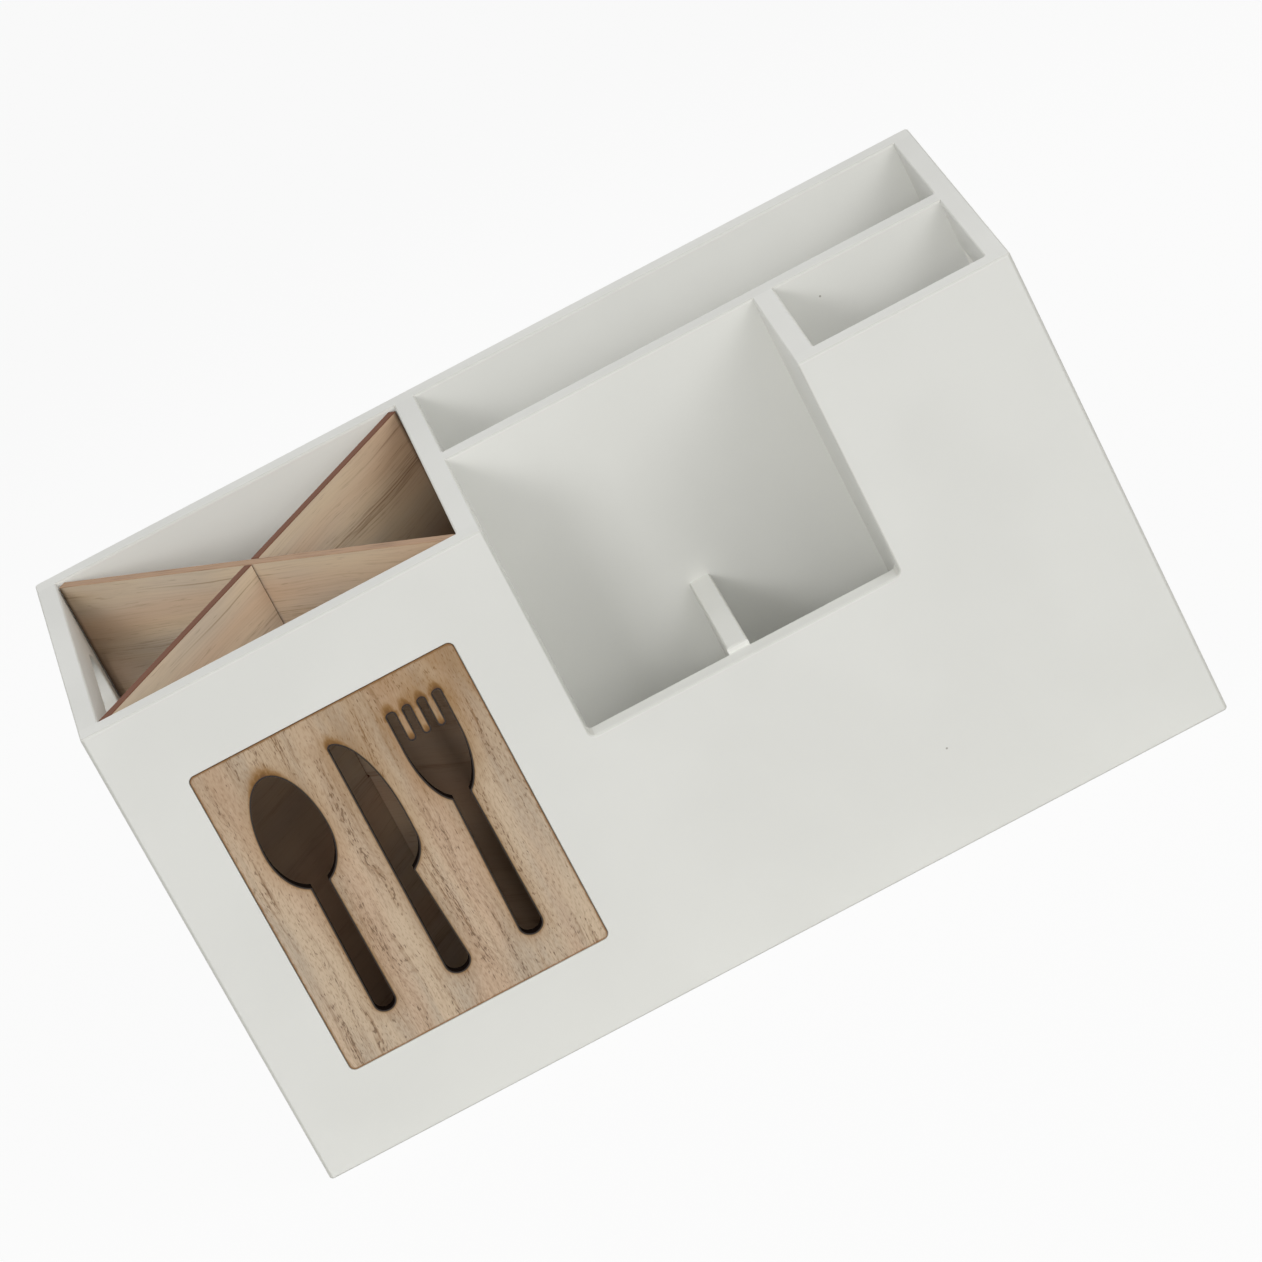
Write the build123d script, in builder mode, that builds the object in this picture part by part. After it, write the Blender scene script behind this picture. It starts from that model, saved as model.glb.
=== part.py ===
"""Cutlery holder: a white box of open cells with a notched front, a cut-out plaque and a lift-out cross.

Millimetres. The origin is on the table under the middle of the box, +X points right, +Y points back
and +Z points up.
"""
from build123d import *
import os
from math import atan2, cos, degrees, sin

os.makedirs("parts", exist_ok=True)

# Outside of the box
holder_width = 350.0
holder_depth = 150.0
holder_height = 188.5

# Boards
front_thickness = 8.0
back_thickness = 8.0
side_thickness = 7.5
bottom_thickness = 6.0
divider_thickness = 8.0

# Rounded edges of the painted boards
corner_ease = 1.5
edge_ease = 0.8

# Clear sizes of the cells, measured inside the boards
cross_cell_width = 135.3
right_cell_width = 64.7
rear_cell_depth = 61.5

# Notch in the front panel, and the low divider behind it
notch_floor_height = 102.6
notch_corner_radius = 2.5
low_divider_height = 98.8
low_divider_shift = -0.8

# Hand holes in the two side panels
hand_hole_length = 108.0
hand_hole_height = 34.0
hand_hole_below_rim = 20.0

# Plaque and its seat in the front panel
plaque_width = 99.6
plaque_shift = -0.4
plaque_thickness = 3.5
plaque_corner_radius = 2.2
plaque_above_table = 33.3
plaque_below_rim = 30.6
plaque_gap = 0.2
plaque_ledge = 4.0
seat_ease = 0.4

# Cut-outs in the plaque: all three stand on one line and lean alike, each with its own top and place across
cutlery_above_plaque_edge = 14.5
cutlery_lean = 0.38

spoon_from_middle = -28.4
spoon_below_plaque_top = 12.4
spoon_bowl_width = 23.4
spoon_bowl_tip = 26.2
spoon_bowl_heel = 18.5
spoon_neck_width = 6.0
spoon_handle_width = 7.3

knife_spine_from_middle = -4.3
knife_below_plaque_top = 13.0
knife_blade_width = 12.5
knife_blade_curve = 35.0
knife_blade_straight = 7.8
knife_tip_round = 1.2
knife_heel_height = 12.0
knife_heel_bulge = 1.8
knife_neck_width = 6.0
knife_handle_width = 8.6

fork_from_middle = 28.1
fork_below_plaque_top = 13.0
fork_head_width = 20.2
fork_head_curve = 24.0
fork_tine_length = 12.7
fork_tine_gap = 3.1
fork_tine_pitch = 5.6
fork_gap_count = 3
fork_tine_round = 1.2
round_share_limit = 0.45
fork_neck_width = 5.5
fork_handle_width = 8.1

# Cross of two slats
slat_thickness = 3.5
slat_below_rim = 1.0
slat_end_clearance = 0.3
slot_clearance = 0.3
lap_gap = 0.5

# Brads that hold the boards together; their heads are sunk under filler and paint
brad_length = 25.0
brad_shank_radius = 0.6
brad_head_radius = 1.0
brad_head_thickness = 0.8
brad_set_depth = 1.0
brad_clearance = 0.05
brad_end_distance = 12.0
bottom_brad_end_distance = 30.0
wall_brad_count = 3
low_brad_count = 2
bottom_brad_count = 4
side_bottom_brad_count = 2

# Faces of the walls
left_outer = -holder_width / 2
right_outer = holder_width / 2
front_outer = -holder_depth / 2
back_outer = holder_depth / 2
left_inner = left_outer + side_thickness
right_inner = right_outer - side_thickness
front_inner = front_outer + front_thickness
back_inner = back_outer - back_thickness
inner_depth = back_inner - front_inner

# Faces of the dividers
left_divider_left = left_inner + cross_cell_width
left_divider_right = left_divider_left + divider_thickness
right_divider_right = right_inner - right_cell_width
right_divider_left = right_divider_right - divider_thickness
middle_divider_back = back_inner - rear_cell_depth
middle_divider_front = middle_divider_back - divider_thickness
low_divider_middle = (left_divider_right + right_divider_left) / 2 + low_divider_shift
low_divider_left = low_divider_middle - divider_thickness / 2
low_divider_right = low_divider_middle + divider_thickness / 2
low_divider_top = bottom_thickness + low_divider_height

# Middles that other pieces line up with
cross_cell_middle_x = (left_inner + left_divider_left) / 2
cross_cell_middle_y = (front_inner + back_inner) / 2
middle_divider_middle_y = (middle_divider_front + middle_divider_back) / 2
notch_middle = (left_divider_right + right_divider_left) / 2
notch_width = right_divider_left - left_divider_right
notch_depth = holder_height - notch_floor_height
hand_hole_middle_z = holder_height - hand_hole_below_rim - hand_hole_height / 2
front_plane = Plane.XZ.offset(-front_outer)

# Plaque between its margins, and the cut-outs between theirs
plaque_height = holder_height - plaque_above_table - plaque_below_rim
plaque_middle_x = cross_cell_middle_x + plaque_shift
plaque_middle_z = plaque_above_table + plaque_height / 2
cutlery_foot = plaque_above_table + cutlery_above_plaque_edge
cutlery_room = plaque_height - cutlery_above_plaque_edge
spoon_length = cutlery_room - spoon_below_plaque_top
spoon_widest = spoon_length - spoon_bowl_tip
knife_length = cutlery_room - knife_below_plaque_top
knife_widest = knife_length - knife_blade_curve
knife_heel_top = knife_widest - knife_blade_straight
knife_neck_height = knife_heel_top - knife_heel_height
fork_length = cutlery_room - fork_below_plaque_top
fork_head_floor = fork_length - fork_tine_length
fork_widest = fork_head_floor - fork_tine_gap
inner_tine_width = fork_tine_pitch - fork_tine_gap
outer_tine_width = (fork_head_width - (fork_gap_count - 1) * fork_tine_pitch - fork_tine_gap) / 2
tine_corner_limit = round_share_limit * min(inner_tine_width, outer_tine_width)

# Cross slats run corner to corner
slat_angle = atan2(inner_depth, cross_cell_width)
slat_reach_across = cross_cell_width - 2 * slat_end_clearance - slat_thickness * sin(slat_angle)
slat_reach_deep = inner_depth - 2 * slat_end_clearance - slat_thickness * cos(slat_angle)
slat_length = min(slat_reach_across / cos(slat_angle), slat_reach_deep / sin(slat_angle))
slat_height = holder_height - bottom_thickness - slat_below_rim
slot_width = slat_thickness + 2 * slot_clearance
lap_height = slat_height / 2

# Directions in which brads are driven, as turns of an upright brad
driven_back = (-90, 0, 0)
driven_forward = (90, 0, 0)
driven_right = (0, 90, 0)
driven_left = (0, -90, 0)
upright_from_base = (Align.CENTER, Align.CENTER, Align.MIN)


def spread(first, last, count):
    """Places from first to last, evenly spaced."""
    step = (last - first) / (count - 1)
    return [first + step * index for index in range(count)]


def board(x_low, x_high, y_low, y_high, z_low, z_high):
    """A plain board between three pairs of faces."""
    with Locations(((x_low + x_high) / 2, (y_low + y_high) / 2, (z_low + z_high) / 2)):
        Box(x_high - x_low, y_high - y_low, z_high - z_low)


def ease_run(start, end, into_board, down=Vector(0, 0, -1)):
    """Round over the sharp edge from start to end, and leave the edge square beyond them."""
    run = Vector(*end) - Vector(*start)
    section = Plane(origin=start, x_dir=into_board, z_dir=run)
    downward = section.y_dir.dot(down)
    with BuildSketch(section) as shaving:
        Rectangle(2 * edge_ease, 2 * edge_ease)
        with Locations((edge_ease, downward * edge_ease)):
            Circle(edge_ease, mode=Mode.SUBTRACT)
    extrude(shaving.sketch, amount=run.length, mode=Mode.SUBTRACT)


def ease_rim_across(y, runs, into_board, rim_height=holder_height):
    """Ease a rim edge that lies across the box, over each run of X."""
    for x_low, x_high in runs:
        ease_run((x_low, y, rim_height), (x_high, y, rim_height), into_board)


def ease_rim_deep(x, runs, into_board):
    """Ease a rim edge that runs front to back, over each run of Y."""
    for y_low, y_high in runs:
        ease_run((x, y_low, holder_height), (x, y_high, holder_height), into_board)


def brads(heads, turn):
    """Brads with the tops of their heads at the given points."""
    with Locations(*heads):
        Cylinder(brad_head_radius, brad_head_thickness, rotation=turn, align=upright_from_base)
        Cylinder(brad_shank_radius, brad_length, rotation=turn, align=upright_from_base)


def brad_holes(heads, turn):
    """Holes for the same brads, with a hair of room all round."""
    drive = Vector(0, 0, 1).rotate(Axis.X, turn[0]).rotate(Axis.Y, turn[1])
    mouths = [Vector(*head) - drive * brad_clearance for head in heads]
    head_room = brad_head_thickness + 2 * brad_clearance
    shank_room = brad_length + 2 * brad_clearance
    head_hole = brad_head_radius + brad_clearance
    shank_hole = brad_shank_radius + brad_clearance
    with Locations(*mouths):
        Cylinder(head_hole, head_room, rotation=turn, align=upright_from_base, mode=Mode.SUBTRACT)
        Cylinder(shank_hole, shank_room, rotation=turn, align=upright_from_base, mode=Mode.SUBTRACT)


def hand_hole():
    """An oblong hole right through a side panel."""
    with BuildSketch(Plane.YZ) as opening:
        with Locations((cross_cell_middle_y, hand_hole_middle_z)):
            SlotOverall(hand_hole_length, hand_hole_height)
    extrude(opening.sketch, amount=holder_width, both=True, mode=Mode.SUBTRACT)


def tapered_handle(end_width, neck_width, neck_height):
    """A handle outline with a round end at the origin line, narrowing up to its neck."""
    end_radius = end_width / 2
    with BuildLine() as taper:
        Polyline(
            (-end_radius, end_radius),
            (-neck_width / 2, neck_height),
            (neck_width / 2, neck_height),
            (end_radius, end_radius),
            close=True,
        )
    make_face(taper.edges())
    with Locations((0, end_radius)):
        Circle(end_radius)


def half_ellipse(width, height, upward):
    """Half an ellipse standing on its widest line, which is centred on the origin."""
    sweep = 180 if upward else -180
    with BuildLine() as rim:
        EllipticalCenterArc((0, 0), width / 2, height, arc_size=sweep)
        Line((-width / 2, 0), (width / 2, 0))
    make_face(rim.edges())


# Tops of the brad heads, joint by joint
front_heads_y = front_outer + brad_set_depth
back_heads_y = back_outer - brad_set_depth
left_side_middle = (left_outer + left_inner) / 2
right_side_middle = (right_outer + right_inner) / 2
left_divider_middle = (left_divider_left + left_divider_right) / 2
right_divider_middle = (right_divider_left + right_divider_right) / 2
bottom_middle_z = bottom_thickness / 2

lowest_brad = bottom_thickness + brad_end_distance
wall_heights = spread(lowest_brad, holder_height - brad_end_distance, wall_brad_count)
low_joint_top = min(notch_floor_height, low_divider_top)
low_heights = spread(lowest_brad, low_joint_top - brad_end_distance, low_brad_count)
below_hole = holder_height - hand_hole_below_rim - hand_hole_height - brad_end_distance
below_hole_heights = spread(lowest_brad, below_hole, wall_brad_count)
bottom_columns = spread(
    left_inner + bottom_brad_end_distance, right_inner - bottom_brad_end_distance, bottom_brad_count
)
bottom_rows = spread(
    front_inner + bottom_brad_end_distance, back_inner - bottom_brad_end_distance, side_bottom_brad_count
)

front_into_left_side = [(left_side_middle, front_heads_y, z) for z in wall_heights]
front_into_right_side = [(right_side_middle, front_heads_y, z) for z in wall_heights]
front_into_left_divider = [(left_divider_middle, front_heads_y, z) for z in wall_heights]
front_into_right_divider = [(right_divider_middle, front_heads_y, z) for z in wall_heights]
front_into_low_divider = [(low_divider_middle, front_heads_y, z) for z in low_heights]
front_into_bottom = [(x, front_heads_y, bottom_middle_z) for x in bottom_columns]
front_heads = (
    front_into_left_side
    + front_into_right_side
    + front_into_left_divider
    + front_into_right_divider
    + front_into_low_divider
    + front_into_bottom
)

back_into_left_side = [(left_side_middle, back_heads_y, z) for z in wall_heights]
back_into_right_side = [(right_side_middle, back_heads_y, z) for z in wall_heights]
back_into_left_divider = [(left_divider_middle, back_heads_y, z) for z in wall_heights]
back_into_bottom = [(x, back_heads_y, bottom_middle_z) for x in bottom_columns]
back_heads = back_into_left_side + back_into_right_side + back_into_left_divider + back_into_bottom

left_side_heads = [(left_outer + brad_set_depth, y, bottom_middle_z) for y in bottom_rows]
right_into_bottom = [(right_outer - brad_set_depth, y, bottom_middle_z) for y in bottom_rows]
right_into_middle_divider = [
    (right_outer - brad_set_depth, middle_divider_middle_y, z) for z in below_hole_heights
]
right_side_heads = right_into_bottom + right_into_middle_divider
left_divider_heads = [
    (left_divider_left + brad_set_depth, middle_divider_middle_y, z) for z in wall_heights
]
middle_into_right_divider = [
    (right_divider_middle, middle_divider_back - brad_set_depth, z) for z in wall_heights
]
middle_into_low_divider = [
    (low_divider_middle, middle_divider_back - brad_set_depth, z) for z in low_heights
]
middle_divider_heads = middle_into_right_divider + middle_into_low_divider

# Bottom panel
with BuildPart() as bottom_panel:
    board(left_inner, right_inner, front_inner, back_inner, 0, bottom_thickness)
    brad_holes(front_into_bottom, driven_back)
    brad_holes(back_into_bottom, driven_forward)
    brad_holes(left_side_heads, driven_right)
    brad_holes(right_into_bottom, driven_left)

bottom_panel.part.label = "bottom_panel"
export_step(bottom_panel.part, "parts/bottom_panel.step")

# Front panel, with the notch, the plaque's seat and a window behind the plaque
with BuildPart() as front_panel:
    board(left_outer, right_outer, front_outer, front_inner, 0, holder_height)
    with BuildSketch(front_plane):
        with Locations((notch_middle, holder_height)):
            notch = Rectangle(notch_width, 2 * notch_depth)
        fillet(notch.vertices().group_by(Axis.Y)[0], notch_corner_radius)
    extrude(amount=front_thickness, both=True, mode=Mode.SUBTRACT)

    fillet(front_panel.edges().filter_by(Axis.Z).group_by(Axis.Y)[0].sort_by(Axis.X)[0], corner_ease)
    fillet(front_panel.edges().filter_by(Axis.Z).group_by(Axis.Y)[0].sort_by(Axis.X)[-1], corner_ease)
    front_outline = front_panel.faces().sort_by(Axis.Y)[0].edges().sort_by(Axis.X)[1:-1]
    notch_rims = front_panel.edges().filter_by(Axis.Y).group_by(Axis.Z)[-1].sort_by(Axis.X)[1:-1]
    fillet(front_outline + notch_rims, edge_ease)

    with BuildSketch(front_plane):
        with Locations((plaque_middle_x, plaque_middle_z)):
            RectangleRounded(
                plaque_width + 2 * plaque_gap,
                plaque_height + 2 * plaque_gap,
                plaque_corner_radius + plaque_gap,
            )
    extrude(amount=-plaque_thickness, mode=Mode.SUBTRACT)
    seat_rim = front_panel.faces().sort_by(Axis.Y)[0].inner_wires()[0].edges()
    fillet(seat_rim, seat_ease)
    with BuildSketch(front_plane):
        with Locations((plaque_middle_x, plaque_middle_z)):
            RectangleRounded(
                plaque_width - 2 * plaque_ledge, plaque_height - 2 * plaque_ledge, plaque_corner_radius
            )
    extrude(amount=-front_thickness, mode=Mode.SUBTRACT)

    ease_rim_across(
        front_inner,
        [(left_inner, left_divider_left), (right_divider_right, right_inner)],
        (0, -1, 0),
    )
    ease_rim_across(
        front_inner,
        [(left_divider_right, low_divider_left), (low_divider_right, right_divider_left)],
        (0, -1, 0),
        notch_floor_height,
    )
    brad_holes(front_heads, driven_back)

front_panel.part.label = "front_panel"
export_step(front_panel.part, "parts/front_panel.step")

# Back panel
with BuildPart() as back_panel:
    board(left_outer, right_outer, back_inner, back_outer, 0, holder_height)
    fillet(back_panel.edges().filter_by(Axis.Z).group_by(Axis.Y)[-1], corner_ease)
    back_outline = back_panel.faces().sort_by(Axis.Y)[-1].edges().filter_by(Axis.X)
    fillet(back_outline, edge_ease)
    ease_rim_across(
        back_inner,
        [(left_inner, left_divider_left), (left_divider_right, right_inner)],
        (0, 1, 0),
    )
    brad_holes(back_heads, driven_forward)

back_panel.part.label = "back_panel"
export_step(back_panel.part, "parts/back_panel.step")

# Left side panel
with BuildPart() as left_side_panel:
    board(left_outer, left_inner, front_inner, back_inner, 0, holder_height)
    fillet(left_side_panel.edges().filter_by(Axis.Y).group_by(Axis.X)[0], edge_ease)
    hand_hole()
    hole_rims = [
        left_side_panel.faces().sort_by(Axis.X)[0].inner_wires()[0].edges(),
        left_side_panel.faces().sort_by(Axis.X)[-1].inner_wires()[0].edges(),
    ]
    fillet(hole_rims[0] + hole_rims[1], edge_ease)
    ease_rim_deep(left_inner, [(front_inner, back_inner)], (-1, 0, 0))
    brad_holes(front_into_left_side, driven_back)
    brad_holes(back_into_left_side, driven_forward)
    brad_holes(left_side_heads, driven_right)

left_side_panel.part.label = "left_side_panel"
export_step(left_side_panel.part, "parts/left_side_panel.step")

# Right side panel
with BuildPart() as right_side_panel:
    board(right_inner, right_outer, front_inner, back_inner, 0, holder_height)
    fillet(right_side_panel.edges().filter_by(Axis.Y).group_by(Axis.X)[-1], edge_ease)
    hand_hole()
    hole_rims = [
        right_side_panel.faces().sort_by(Axis.X)[0].inner_wires()[0].edges(),
        right_side_panel.faces().sort_by(Axis.X)[-1].inner_wires()[0].edges(),
    ]
    fillet(hole_rims[0] + hole_rims[1], edge_ease)
    ease_rim_deep(
        right_inner,
        [(front_inner, middle_divider_front), (middle_divider_back, back_inner)],
        (1, 0, 0),
    )
    brad_holes(front_into_right_side, driven_back)
    brad_holes(back_into_right_side, driven_forward)
    brad_holes(right_side_heads, driven_left)

right_side_panel.part.label = "right_side_panel"
export_step(right_side_panel.part, "parts/right_side_panel.step")

# Left divider, front to back
with BuildPart() as left_divider:
    board(left_divider_left, left_divider_right, front_inner, back_inner, bottom_thickness, holder_height)
    ease_rim_deep(left_divider_left, [(front_inner, back_inner)], (1, 0, 0))
    ease_rim_deep(
        left_divider_right,
        [(front_inner, middle_divider_front), (middle_divider_back, back_inner)],
        (-1, 0, 0),
    )
    brad_holes(front_into_left_divider, driven_back)
    brad_holes(back_into_left_divider, driven_forward)
    brad_holes(left_divider_heads, driven_right)

left_divider.part.label = "left_divider"
export_step(left_divider.part, "parts/left_divider.step")

# Middle divider, from the left divider to the right side
with BuildPart() as middle_divider:
    board(
        left_divider_right,
        right_inner,
        middle_divider_front,
        middle_divider_back,
        bottom_thickness,
        holder_height,
    )
    ease_rim_across(middle_divider_back, [(left_divider_right, right_inner)], (0, -1, 0))
    ease_rim_across(
        middle_divider_front,
        [(left_divider_right, right_divider_left), (right_divider_right, right_inner)],
        (0, 1, 0),
    )
    brad_holes(left_divider_heads, driven_right)
    brad_holes(right_into_middle_divider, driven_left)
    brad_holes(middle_divider_heads, driven_forward)

middle_divider.part.label = "middle_divider"
export_step(middle_divider.part, "parts/middle_divider.step")

# Right divider, from the front panel to the middle divider
with BuildPart() as right_divider:
    board(
        right_divider_left,
        right_divider_right,
        front_inner,
        middle_divider_front,
        bottom_thickness,
        holder_height,
    )
    ease_rim_deep(right_divider_left, [(front_inner, middle_divider_front)], (1, 0, 0))
    ease_rim_deep(right_divider_right, [(front_inner, middle_divider_front)], (-1, 0, 0))
    brad_holes(front_into_right_divider, driven_back)
    brad_holes(middle_into_right_divider, driven_forward)

right_divider.part.label = "right_divider"
export_step(right_divider.part, "parts/right_divider.step")

# Low divider behind the notch
with BuildPart() as low_divider:
    board(
        low_divider_left,
        low_divider_right,
        front_inner,
        middle_divider_front,
        bottom_thickness,
        low_divider_top,
    )
    low_rims = low_divider.faces().sort_by(Axis.Z)[-1].edges().sort_by(Axis.Y)[:-1]
    fillet(low_rims, edge_ease)
    brad_holes(front_into_low_divider, driven_back)
    brad_holes(middle_into_low_divider, driven_forward)

low_divider.part.label = "low_divider"
export_step(low_divider.part, "parts/low_divider.step")

# Spoon, knife and fork outlines, each standing on its own origin
with BuildSketch() as spoon:
    tapered_handle(spoon_handle_width, spoon_neck_width, spoon_widest)
    with BuildSketch(Plane.XY, mode=Mode.PRIVATE) as spoon_tip:
        half_ellipse(spoon_bowl_width, spoon_bowl_tip, upward=True)
    with BuildSketch(Plane.XY, mode=Mode.PRIVATE) as spoon_heel:
        half_ellipse(spoon_bowl_width, spoon_bowl_heel, upward=False)
    with Locations((0, spoon_widest)):
        add(spoon_tip.sketch)
        add(spoon_heel.sketch)

with BuildSketch() as knife:
    knife_handle_end = knife_handle_width / 2
    with BuildLine():
        Line((0, knife_handle_end), (0, knife_length))
        EllipticalCenterArc((0, knife_widest), knife_blade_width, knife_blade_curve, arc_size=90)
        Line((knife_blade_width, knife_widest), (knife_blade_width, knife_heel_top))
        SagittaArc(
            (knife_neck_width, knife_neck_height), (knife_blade_width, knife_heel_top), -knife_heel_bulge
        )
        Line((knife_neck_width, knife_neck_height), (knife_handle_width, knife_handle_end))
        ThreePointArc((knife_handle_width, knife_handle_end), (knife_handle_end, 0), (0, knife_handle_end))
    make_face()
    fillet(knife.vertices().sort_by(Axis.Y)[-1], knife_tip_round)

with BuildSketch() as fork:
    tapered_handle(fork_handle_width, fork_neck_width, fork_widest)
    with BuildSketch(Plane.XY, mode=Mode.PRIVATE) as fork_heel:
        half_ellipse(fork_head_width, fork_head_curve, upward=False)
    with Locations((0, fork_widest)):
        add(fork_heel.sketch)
    with Locations((0, (fork_widest + fork_length) / 2)):
        Rectangle(fork_head_width, fork_length - fork_widest)
    with Locations((0, fork_length)):
        with GridLocations(fork_tine_pitch, 0, fork_gap_count, 1):
            SlotOverall(2 * fork_tine_length, fork_tine_gap, rotation=90, mode=Mode.SUBTRACT)
    fillet(fork.vertices().group_by(Axis.Y)[-1], min(fork_tine_round, tine_corner_limit))

# Plaque, seated on the ledge and flush with the front
with BuildPart() as cutlery_plaque:
    with BuildSketch(front_plane):
        with Locations((plaque_middle_x, plaque_middle_z)):
            RectangleRounded(plaque_width, plaque_height, plaque_corner_radius)
        for outline, from_middle in [
            (spoon, spoon_from_middle),
            (knife, knife_spine_from_middle),
            (fork, fork_from_middle),
        ]:
            with Locations((plaque_middle_x + from_middle, cutlery_foot)):
                add(outline.sketch, rotation=-cutlery_lean, mode=Mode.SUBTRACT)
    extrude(amount=-plaque_thickness)

cutlery_plaque.part.label = "cutlery_plaque"
export_step(cutlery_plaque.part, "parts/cutlery_plaque.step")


def cross_slat(angle, slot_base):
    """A slat standing on the bottom panel, with a slot for the slat that crosses it."""
    foot = Plane((cross_cell_middle_x, cross_cell_middle_y, bottom_thickness))
    with BuildSketch(foot) as slat_section:
        Rectangle(slat_length, slat_thickness, rotation=angle)
    extrude(slat_section.sketch, amount=slat_height)
    with BuildSketch(foot.offset(slot_base)) as slot_section:
        Rectangle(slat_length, slot_width, rotation=-angle)
    extrude(slot_section.sketch, amount=lap_height + lap_gap / 2, mode=Mode.SUBTRACT)


# Lower slat, from the front left corner to the back right one, slotted from above
with BuildPart() as lower_slat:
    cross_slat(degrees(slat_angle), lap_height - lap_gap / 2)

lower_slat.part.label = "lower_slat"
export_step(lower_slat.part, "parts/lower_slat.step")

# Upper slat, from the back left corner to the front right one, slotted from below
with BuildPart() as upper_slat:
    cross_slat(-degrees(slat_angle), 0)

upper_slat.part.label = "upper_slat"
export_step(upper_slat.part, "parts/upper_slat.step")

# Brads, grouped by the board that they are driven through
with BuildPart() as front_panel_brads:
    brads(front_heads, driven_back)

front_panel_brads.part.label = "front_panel_brads"
export_step(front_panel_brads.part, "parts/front_panel_brads.step")

with BuildPart() as back_panel_brads:
    brads(back_heads, driven_forward)

back_panel_brads.part.label = "back_panel_brads"
export_step(back_panel_brads.part, "parts/back_panel_brads.step")

with BuildPart() as left_side_brads:
    brads(left_side_heads, driven_right)

left_side_brads.part.label = "left_side_brads"
export_step(left_side_brads.part, "parts/left_side_brads.step")

with BuildPart() as right_side_brads:
    brads(right_side_heads, driven_left)

right_side_brads.part.label = "right_side_brads"
export_step(right_side_brads.part, "parts/right_side_brads.step")

with BuildPart() as left_divider_brads:
    brads(left_divider_heads, driven_right)

left_divider_brads.part.label = "left_divider_brads"
export_step(left_divider_brads.part, "parts/left_divider_brads.step")

with BuildPart() as middle_divider_brads:
    brads(middle_divider_heads, driven_forward)

middle_divider_brads.part.label = "middle_divider_brads"
export_step(middle_divider_brads.part, "parts/middle_divider_brads.step")
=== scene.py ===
"""Looks of the cutlery holder: painted boards, a laser-cut plaque and a lift-out cross of slats.

Laid out as an add-on and run as a script. Everything is in metres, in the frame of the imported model:
+X points right, +Y points back, +Z points up, and the origin is on the table under the box.
"""

import math

import bmesh
import bpy
from bpy.props import FloatProperty, FloatVectorProperty, PointerProperty
from mathutils import Matrix, Vector
from mathutils.geometry import intersect_point_line
from mathutils.kdtree import KDTree


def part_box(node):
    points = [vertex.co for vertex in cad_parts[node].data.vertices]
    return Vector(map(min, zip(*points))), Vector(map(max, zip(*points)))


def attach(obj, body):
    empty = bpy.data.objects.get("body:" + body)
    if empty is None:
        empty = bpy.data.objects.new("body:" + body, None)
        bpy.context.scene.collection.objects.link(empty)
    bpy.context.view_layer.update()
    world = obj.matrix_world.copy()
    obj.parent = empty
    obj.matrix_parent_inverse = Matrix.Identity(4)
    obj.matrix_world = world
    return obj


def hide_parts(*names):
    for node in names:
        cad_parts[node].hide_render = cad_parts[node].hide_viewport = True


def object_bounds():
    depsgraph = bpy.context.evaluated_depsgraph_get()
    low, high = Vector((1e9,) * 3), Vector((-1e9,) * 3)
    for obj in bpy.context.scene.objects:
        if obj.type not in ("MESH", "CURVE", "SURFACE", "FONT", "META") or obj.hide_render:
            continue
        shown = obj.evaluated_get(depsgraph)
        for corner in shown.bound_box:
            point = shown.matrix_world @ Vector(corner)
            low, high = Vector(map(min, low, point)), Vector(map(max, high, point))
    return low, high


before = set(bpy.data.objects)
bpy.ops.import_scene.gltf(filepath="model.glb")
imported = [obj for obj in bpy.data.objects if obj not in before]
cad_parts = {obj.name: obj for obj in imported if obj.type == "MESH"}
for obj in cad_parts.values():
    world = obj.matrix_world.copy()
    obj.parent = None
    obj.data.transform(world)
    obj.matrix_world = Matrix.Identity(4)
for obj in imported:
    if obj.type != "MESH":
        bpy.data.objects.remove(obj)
CAD_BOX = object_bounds()

bl_info = {
    "name": "Cutlery holder looks",
    "version": (1, 0, 0),
    "blender": (4, 5, 0),
    "location": "View3D > Sidebar > Holder",
    "description": "Paint, wood and stage for the cutlery holder",
    "category": "Object",
}

MM = 0.001
PHOTO_PIXELS = 1262
SENSOR_WIDTH_MM = 36.0

# Painted boards, by the way their grain runs under the paint
BOARDS_ACROSS = ("front_panel", "back_panel", "middle_divider", "bottom_panel")
BOARDS_DEEP = ("left_side_panel", "right_side_panel", "left_divider", "right_divider", "low_divider")
BRAD_GROUPS = tuple(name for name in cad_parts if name.endswith("_brads"))

# Turns that lay a board's grain along X
GRAIN_ACROSS = (0.0, 0.0, 0.0)
GRAIN_DEEP = (0.0, 0.0, math.radians(-90))
GRAIN_UPRIGHT = (0.0, math.radians(90), 0.0)

# Sockets of the Mix node when it mixes colours
MIX_FACTOR = 0
MIX_A = 6
MIX_B = 7
MIX_RESULT = 2

# Levels of the noises between which a pattern fades in
CLOUD_BAND = (0.35, 0.65)
SHEEN_BAND = (0.3, 0.7)
PATCH_BAND = (0.38, 0.62)
BLUSH_BAND = (0.46, 0.66)
LINE_BAND = (0.5, 0.68)
DARK_FLECK_BAND = (0.46, 0.78)
PALE_FLECK_BAND = (0.5, 0.22)
CHAR_BAND = (0.45, 0.75)
STROKE_BAND = (0.4, 0.7)
NOISE_ROUGHNESS = 0.55
NOISE_MIDDLE = 0.5

# Detail of a noise: soft spots, or spots with finer ones in them
SOFT = 1.0
FINE = 2.0

# Paint: how squarely a face looks along an axis, from an eased edge, which gets painted shade, to a flat
# side; how the sheen varies
EASED_BAND = (0.9, 0.995)
SHEEN_SWING = (-0.04, 0.05)
SPECK_CORE = 0.6
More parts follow.
